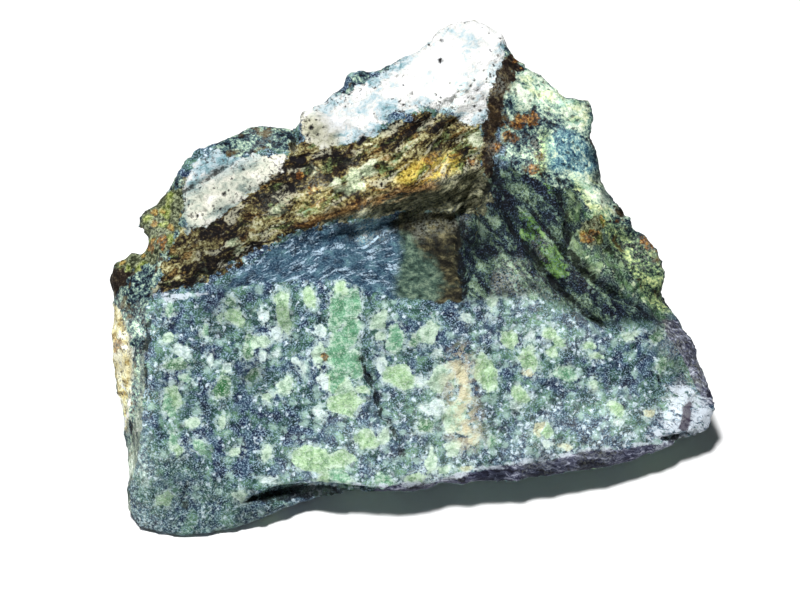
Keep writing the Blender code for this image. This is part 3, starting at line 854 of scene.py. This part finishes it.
def mottled_jade():
    """Navy to green ground, dusted with fine pale grains, with larger coloured grains in it."""
    sheet, place, drift, depth, tone, frost, wall, leafy, peach, away = new_group(
        "mottled jade", "Place Drift Grain Tone Frost Wall Leafy Peach Away",
    )
    open_face = (wall * 0.75).rest()
    stirred = place.stirred(0.5, 0.8).stirred(1.2, 2.2)
    # The ground and the fine grains in it.
    body = place.noise(3.4)
    dust = place.noise(0.4, 2, 0.6)
    veil = place.noise(1.3, 3, 0.65)
    near = depth.fade(-4.0, -0.5) * 0.05
    green = (place.noise(5.5) + near).fade(0.47, 0.57)
    greens = body.tones((0.36, 24, 50, 44), (0.5, 54, 92, 70), (0.64, 108, 148, 112))
    dusty = dust.fade(0.46, 0.62) * (veil.fade(0.3, 0.56) * open_face)
    more = frost * 0.36
    pale = stirred.blobs(2.7, more + 0.32, 0.4) * open_face
    milky = stirred.blobs(1.3, more + 0.2, 0.45) * open_face
    lime = stirred.noise(3.6).fade(0.57, 0.62) * away
    limes = body.tones((0.36, 92, 140, 96), (0.5, 156, 190, 132), (0.64, 204, 222, 180))
    halo = depth.fade(-1.8, -0.1) * veil.fade(0.45, 0.58)
    made = body.tones(
        (0.34, 16, 24, 46), (0.45, 27, 41, 70), (0.55, 46, 70, 90), (0.68, 84, 112, 112),
    ).coats(
        (green * 0.75, greens),
        (dusty * 0.72, (158, 186, 206)),
        (pale * 0.65, (172, 204, 192)),
        (milky * 0.85, (216, 234, 244)),
        (stirred.blobs(1.9, 0.18) * 0.6, (18, 28, 44)),
        (frost * 0.03, (204, 224, 220)),
        (lime * 0.9, limes),
        (halo * 0.6, (202, 224, 218)),
    )
    # The coloured grains.
    shaded = place.noise(2.4, 4, 0.65).fade(0.56, 0.4)
    rim = depth.fade(1.6, 0.0) * (veil.fade(0.44, 0.58) + 0.35)
    inner = tone.tones(
        (0.0, 40, 104, 48), (0.2, 112, 168, 132), (0.4, 168, 202, 154), (0.6, 190, 216, 190),
        (0.8, 218, 234, 238), (1.0, 216, 208, 170),
    ).coats(
        (veil.fade(0.54, 0.36) * 0.5, (66, 112, 90)),
        (shaded * 0.45, (130, 164, 140), "MULTIPLY"),
        (milky * 0.35, (226, 238, 226)),
        (veil.fade(0.5, 0.66) * 0.5, (206, 228, 206)),
        (dust.fade(0.5, 0.66) * 0.36, (220, 236, 226)),
        (rim * 0.4, (210, 228, 216)),
    )
    cloudy = peach * place.noise(2.2, 4, 0.68).fade(0.42, 0.56)
    # The dark wall with its green streaks.
    streak = stirred.drawn_out(WALL_TURN, (5, 1, 1)).noise(2, 4, 0.64)
    patchy = (place.noise(6, 2, 0.5) - 0.5) * 0.6
    green_streak = streak.tones(
        (0.38, 10, 16, 10), (0.48, 42, 66, 32), (0.57, 84, 120, 60), (0.68, 140, 172, 112),
    )
    cave = (streak + patchy + (dust - 0.5) * 0.35).tones(
        (0.38, 3, 5, 12), (0.47, 12, 20, 32), (0.53, 34, 50, 48), (0.61, 80, 100, 76),
        (0.72, 150, 172, 144),
    ).coats(
        (leafy, green_streak),
        (stirred.blobs(1.3, 0.2) * 0.6, (122, 148, 132)),
        (dust.fade(0.54, 0.66) * 0.45, (96, 116, 146)),
    )
    made = made.coats(
        (sheet.group(RAGGED, drift, depth, EDGE_WANDER["grain"])[0], inner),
        (cloudy * 0.55, (220, 208, 172)),
        ((wall * 0.95).then("ShaderNodeMath", leafy, operation="MAXIMUM"), cave),
    )
    return sheet.give(Color=made, Height=dust * 0.7 + body * 2.0)


def bedded_stain():
    """Iron-stained beds: thin streaks from nearly black through olive and ochre to cream."""
    sheet, place, brown, ochre, sheltered, burnt, pale = new_group(
        "bedded stain", "Place Brown Ochre Sheltered Burnt Pale",
    )
    beds = place.stirred(5, 3).drawn_out(BED_TURN, (4, 4, 1))
    broad = beds.noise(2.2, 4, 0.68)
    thin = beds.noise(0.6, 3, 0.65)
    grit = place.noise(0.7, 3, 0.68)
    value = (broad * 1.1 + thin * 0.7 + grit * 0.8 - 1.3) * 1.15 + 0.45
    streaks = thin * 0.6 + grit * 0.4
    creamy = beds.noise(1.6).fade(0.54, 0.64) * grit.fade(0.4, 0.52)
    # greys lightened for under the ledge, painted light in the ledge's shadow
    grey = streaks.tones(
        (0.36, 32, 36, 32), (0.46, 80, 84, 68), (0.54, 132, 132, 100), (0.64, 190, 188, 160),
    )
    charred = burnt * beds.noise(2.4, 3, 0.65).fade(0.36, 0.54)
    burnt_tones = streaks.tones(
        (0.36, 18, 12, 10), (0.46, 60, 40, 22), (0.54, 118, 80, 38), (0.64, 178, 142, 84),
    )
    spread = pale + (beds.noise(1.6, 3, 0.65) - 0.5) * 1.6
    washed = (broad * 0.5 + grit * 0.5).tones(
        (0.36, 58, 66, 52), (0.46, 136, 150, 118), (0.54, 200, 208, 176), (0.64, 234, 236, 220),
    )
    made = (value - brown * 0.14 + ochre * 0.16).tones(
        (0.22, 12, 10, 12), (0.34, 40, 32, 24), (0.44, 84, 74, 46), (0.54, 130, 122, 80),
        (0.66, 178, 174, 128), (0.84, 224, 224, 198),
    ).coats(
        (beds.noise(2).fade(0.5, 0.62), (168, 204, 196), "MULTIPLY"),
        (ochre * 0.85, (252, 222, 96), "MULTIPLY"),
        (beds.noise(1.3).fade(0.53, 0.64) * 0.7, (208, 156, 100), "MULTIPLY"),
        (place.stirred(0.7, 0.9).blobs(0.75, 0.22) * 0.8, (14, 11, 12)),
        (creamy * 0.6, (204, 202, 176)),
        (sheltered * 0.8, grey),
        (charred * 0.75, burnt_tones),
        (spread.fade(0.35, 0.75) * pale.fade(0.0, 0.25), washed),
    )
    return sheet.give(Color=made)


def chalky_rind():
    """White to lilac-grey weathered rind with pale teal streaks and black specks."""
    sheet, place, depth, cream, bright = new_group("chalky rind", "Place Depth Cream Bright")
    edge = depth.fade(5.0, 0.5)
    beds = place.stirred(4, 4).drawn_out(BED_TURN, (2.5, 2.5, 1.0))
    value = beds.noise(3, 4, 0.68) - edge * 0.06 + bright * 0.1
    creamy = value.tones(
        (0.28, 48, 40, 28), (0.36, 140, 120, 66), (0.45, 204, 194, 146), (0.56, 228, 226, 200),
        (0.72, 240, 240, 228),
    )
    dirt = place.noise(0.8, 3, 0.68).fade(0.5, 0.34) * (edge * 0.5 + 0.35 - bright * 0.3)
    portion = edge * 0.12 + 0.05 - bright * 0.04
    made = value.tones(
        (0.26, 62, 98, 108), (0.36, 128, 162, 170), (0.45, 180, 198, 204), (0.54, 214, 214, 210),
        (0.66, 238, 241, 243),
    ).coats(
        (cream, creamy),
        (dirt, (62, 58, 56)),
        (place.stirred(0.6, 1.2).blobs(0.9, portion) * 0.9, (30, 26, 30)),
    )
    return sheet.give(Color=made)


def weathered_crest():
    """Blue-grey, teal and cream skin with rusty blotches, where the rind thins out."""
    sheet, place, pale, brown, blue, dark = new_group(
        "weathered crest", "Place Pale Brown Blue Dark",
    )
    streaks = place.stirred(4, 4).drawn_out(CREST_TURN, (1, 1, 3))
    value = streaks.noise(2.2, 4, 0.7) + (place.noise(0.7, 3, 0.68) - 0.5) * 0.7
    value = value + pale * 0.16 + blue * 0.08 - (brown * 0.12 + dark * 0.02)
    rusty = place.noise(4.5).fade(0.54, 0.66) * 0.7
    tinted = pale * streaks.noise(2.6).fade(0.48, 0.6)
    cool = pale * place.noise(3).fade(0.52, 0.62)
    tan = value.tones((0.22, 12, 8, 8), (0.42, 44, 32, 20), (0.62, 110, 88, 48))
    upright = place.stirred(3, 3).drawn_out(BLUE_TURN, (1, 1, 5))
    bluish = (value * 0.5 + upright.noise(1.3, 4, 0.7) * 0.5).tones(
        (0.38, 16, 32, 52), (0.49, 58, 98, 122), (0.56, 116, 164, 172), (0.64, 214, 232, 206),
    )
    made = value.tones(
        (0.34, 8, 12, 20), (0.43, 32, 48, 64), (0.5, 80, 104, 106), (0.58, 140, 166, 148),
        (0.68, 198, 214, 190), (0.84, 232, 238, 222),
    ).coats(
        (rusty * (pale + blue).rest(), (88, 70, 34)),
        (tinted * 0.5, (240, 232, 176), "MULTIPLY"),
        (cool * 0.7, (164, 206, 206), "MULTIPLY"),
        (brown * 0.85, tan),
        (blue * 0.8, bluish),
        (place.stirred(1.0, 1.2).blobs(1.2, 0.18) * 0.7, (14, 14, 16)),
    )
    return sheet.give(Color=made)


def knobbly_end():
    """Olive and ochre knobs in a grey-blue ground."""
    sheet, place = new_group("knobbly end", "Place")
    grit = place.noise(0.8, 3, 0.68)
    stirred = place.stirred(2, 2)
    green = grit.tones((0.32, 34, 44, 12), (0.46, 104, 120, 48), (0.6, 172, 180, 116))
    amber = grit.tones((0.32, 50, 28, 8), (0.48, 130, 96, 34), (0.62, 180, 158, 90))
    made = grit.tones((0.34, 14, 18, 14), (0.48, 66, 72, 50), (0.62, 138, 146, 116)).coats(
        (stirred.blobs(3.6, 0.9, 0.4), green),
        (stirred.blobs(2.6, 0.3, 0.35) * 0.85, amber),
    )
    return sheet.give(Color=made)


def polished_slip():
    """Steel-blue surface with white drawn-out streaks, stained brown in the nook."""
    sheet, place, nook, brown = new_group("polished slip", "Place Nook Brown")
    drawn = place.stirred(4.0, 2.5).drawn_out(SLIP_TURN, (6, 1, 1))
    dust = place.noise(0.45, 2, 0.6)
    bright = drawn.noise(1.2, 4, 0.7).fade(0.5, 0.62) * dust.fade(0.32, 0.5)
    bright = bright * place.noise(5, 3, 0.65).fade(0.34, 0.52)
    teal = place.noise(2, 5, 0.68).tones(
        (0.34, 24, 38, 34), (0.48, 62, 84, 74), (0.62, 112, 132, 112),
    )
    tan = place.noise(2.2, 5, 0.7).tones(
        (0.34, 12, 12, 10), (0.46, 36, 34, 26), (0.56, 68, 65, 46), (0.68, 118, 112, 82),
    )
    blotch = brown + (place.noise(3) - 0.5) * 1.2
    made = place.noise(3.5, 4, 0.65).tones(
        (0.34, 16, 30, 46), (0.48, 38, 64, 86), (0.6, 66, 98, 114), (0.7, 98, 134, 138),
    ).coats(
        (dust.fade(0.48, 0.64) * 0.4, (110, 136, 150)),
        (bright * 0.85, (180, 204, 222)),
        (nook, teal),
        (blotch.fade(0.1, 1.0) * brown.fade(0.0, 0.3), tan),
        (dust.fade(0.5, 0.36) * 0.4, (12, 18, 24)),
    )
    return sheet.give(Color=made)


def raw_jade():
    """The stone's one material: each finish is laid over the ones before it."""
    material = bpy.data.materials.new("raw jade")
    material.use_nodes = True
    sheet = Sheet(material.node_tree)
    shader = material.node_tree.nodes["Principled BSDF"]
    place = Wire(sheet, sheet.node("ShaderNodeTexCoord").outputs["Object"])
    drift = place.noise(3, 5, 0.62)

    def read(name):
        return Wire(sheet, sheet.node("ShaderNodeAttribute", attribute_name=name).outputs["Fac"])

    def edge(name):
        return sheet.group(RAGGED, drift, read(name), EDGE_WANDER.get(name, 1.0))[0]

    jade, height = sheet.group(
        mottled_jade(), place, drift, read("grain"), read("grain_tone"), read("frost"),
        read("wall"), edge("leafy"), read("peach"), read("away"),
    )
    fine = place.noise(0.8, 3, 0.68).tones(
        (0.34, 20, 28, 42), (0.45, 48, 68, 72), (0.55, 104, 132, 122), (0.66, 196, 210, 206),
    )
    # The split lower edge and the streaked left strip.
    split = place.stirred(2, 2).drawn_out(SPLIT_TURN, (7, 1, 1))
    purple = split.noise(0.9, 4, 0.66).tones(
        (0.34, 18, 18, 32), (0.46, 50, 52, 72), (0.56, 94, 98, 118), (0.68, 180, 184, 200),
    )
    stirred = place.stirred(2.0, 2.5)
    upright = stirred.drawn_out(STRIP_TURN, (1, 1, 6))
    strip = upright.noise(1.4, 4, 0.7).tones(
        (0.34, 20, 26, 30), (0.45, 72, 84, 78), (0.54, 128, 140, 122), (0.66, 206, 212, 204),
    )
    # The large finishes.
    slip = sheet.group(polished_slip(), place, read("nook"), read("nook_brown"))[0]
    crest = sheet.group(
        weathered_crest(), place, read("pale"), edge("crest_brown"), read("blue"), edge("dark"),
    )[0]
    stain = sheet.group(
        bedded_stain(), place, read("brown"), read("ochre"), read("sheltered"), read("burnt"),
        read("stain_pale"),
    )[0]
    rind = sheet.group(chalky_rind(), place, read("rind"), read("cream"), read("bright"))[0]
    knobs = sheet.group(knobbly_end(), place)[0]
    # The scraped tip and bruised edges, and small marks.
    scrapes = stirred.drawn_out(SCRAPE_TURN, (4, 1, 1)).noise(1.2, 4, 0.68)
    reach = (read("scraped") + (scrapes - 0.5) * 14.0).fade(-1.5, 2.0)
    frosted = reach.then("ShaderNodeMath", edge("bruise") * 0.8, operation="MAXIMUM")
    frosted = frosted * scrapes.fade(0.38, 0.52)
    rusty = place.noise(0.9, 3, 0.68).tones(
        (0.36, 18, 10, 8), (0.47, 74, 42, 16), (0.56, 128, 82, 34), (0.66, 190, 150, 80),
    )
    # pale speckle over the pale patches, so partly painted light as well
    speckled_pale_and_light = read("pale_and_painted_light") * place.noise(0.6, 3, 0.68).fade(0.42, 0.58)
    made = jade.coats(
        (read("foot") * 0.4, fine),
        (edge("purple"), purple),
        (edge("strip") * 0.85, strip),
        (edge("slip"), slip),
        (edge("crest"), crest),
        (read("mossy") * 0.8, (238, 236, 166), "MULTIPLY"),
        (edge("stain"), stain),
        (edge("rind"), rind),
        (edge("olive"), knobs),
        (frosted * 0.88, (216, 226, 236)),
        (edge("rust") * 0.8, rusty),
        (edge("pit"), (18, 16, 20)),
        (edge("purple_spot") * 0.85, (62, 50, 66)),
        # painted shade and darker tone from the darker patches
        (read("dark_and_painted_shade"), (70, 84, 100), "MULTIPLY"),
        # painted light and paler tone from the pale patches, lightening what lies below
        (read("pale_and_painted_light"), (236, 238, 234), "DODGE"),
        (speckled_pale_and_light * 0.55, (206, 212, 196)),
        # painted shade: near-black along the cracks and crevices
        (edge("painted_crack_shade") * 0.85, (8, 11, 12)),
    )
    sheet.feed(shader.inputs["Base Color"], made)
    shader.inputs["Specular IOR Level"].default_value = SPECULAR
    shine = place.noise(1, 2, 0.5).then("ShaderNodeMapRange", 0.0, 1.0, *ROUGHNESS)
    sheet.feed(shader.inputs["Roughness"], shine)
    bump = sheet.node("ShaderNodeBump", BUMP_STRENGTH, BUMP_DEPTH * MM)
    sheet.feed(bump.inputs["Height"], height)
    sheet.feed(shader.inputs["Normal"], Wire(sheet, bump.outputs[0]))
    return material


def dress_stone():
    stone = fine_copy(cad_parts[NODE])
    skin = Skin(stone.data)
    work_skin(skin)
    mark_finishes(skin)
    stone.data.materials.clear()
    stone.data.materials.append(raw_jade())
    stone.data.shade_smooth()
    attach(stone, "root")
    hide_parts(NODE)
    return stone


def plain_floor():
    """A pale flat floor for the stone to rest on."""
    mesh = bpy.data.meshes.new("floor")
    corners = ((-1, -1), (1, -1), (1, 1), (-1, 1))
    mesh.from_pydata([(FLOOR_HALF * x, FLOOR_HALF * y, 0) for x, y in corners], [], [(0, 1, 2, 3)])
    floor = bpy.data.objects.new("floor", mesh)
    bpy.context.scene.collection.objects.link(floor)
    paint = bpy.data.materials.new("pale floor")
    paint.use_nodes = True
    shader = paint.node_tree.nodes["Principled BSDF"]
    shader.inputs["Base Color"].default_value = (*[FLOOR_PALENESS] * 3, 1.0)
    shader.inputs["Roughness"].default_value = FLOOR_ROUGHNESS
    mesh.materials.append(paint)


def area_light(name, place, size, power):
    """A square lamp that looks at the stone."""
    data = bpy.data.lights.new(name, "AREA")
    data.size = size
    data.energy = power
    lamp = bpy.data.objects.new(name, data)
    lamp.location = place
    lamp.rotation_euler = (Vector(LIT) - Vector(place)).to_track_quat("-Z", "Y").to_euler()
    bpy.context.scene.collection.objects.link(lamp)


def light_up():
    for name, (place, size, power) in LIGHTS.items():
        area_light(name, place, size, power)
    world = bpy.data.worlds.new("studio")
    world.use_nodes = True
    sky = world.node_tree.nodes["Background"]
    sky.inputs["Color"].default_value = (1.0, 1.0, 1.0, 1.0)
    sky.inputs["Strength"].default_value = SKY_STRENGTH
    bpy.context.scene.world = world
    bpy.context.scene.view_settings.view_transform = "Standard"


def place_camera():
    look = Vector((0, math.cos(EYE_RISE), -math.sin(EYE_RISE)))
    data = bpy.data.cameras.new("camera")
    data.lens = LENS
    camera = bpy.data.objects.new("camera", data)
    camera.location = Vector(EYE_TARGET) - look * EYE_DISTANCE
    camera.rotation_euler = look.to_track_quat("-Z", "Y").to_euler()
    bpy.context.scene.collection.objects.link(camera)
    bpy.context.scene.camera = camera


RAGGED = ragged_edge()
dress_stone()
plain_floor()
light_up()
place_camera()
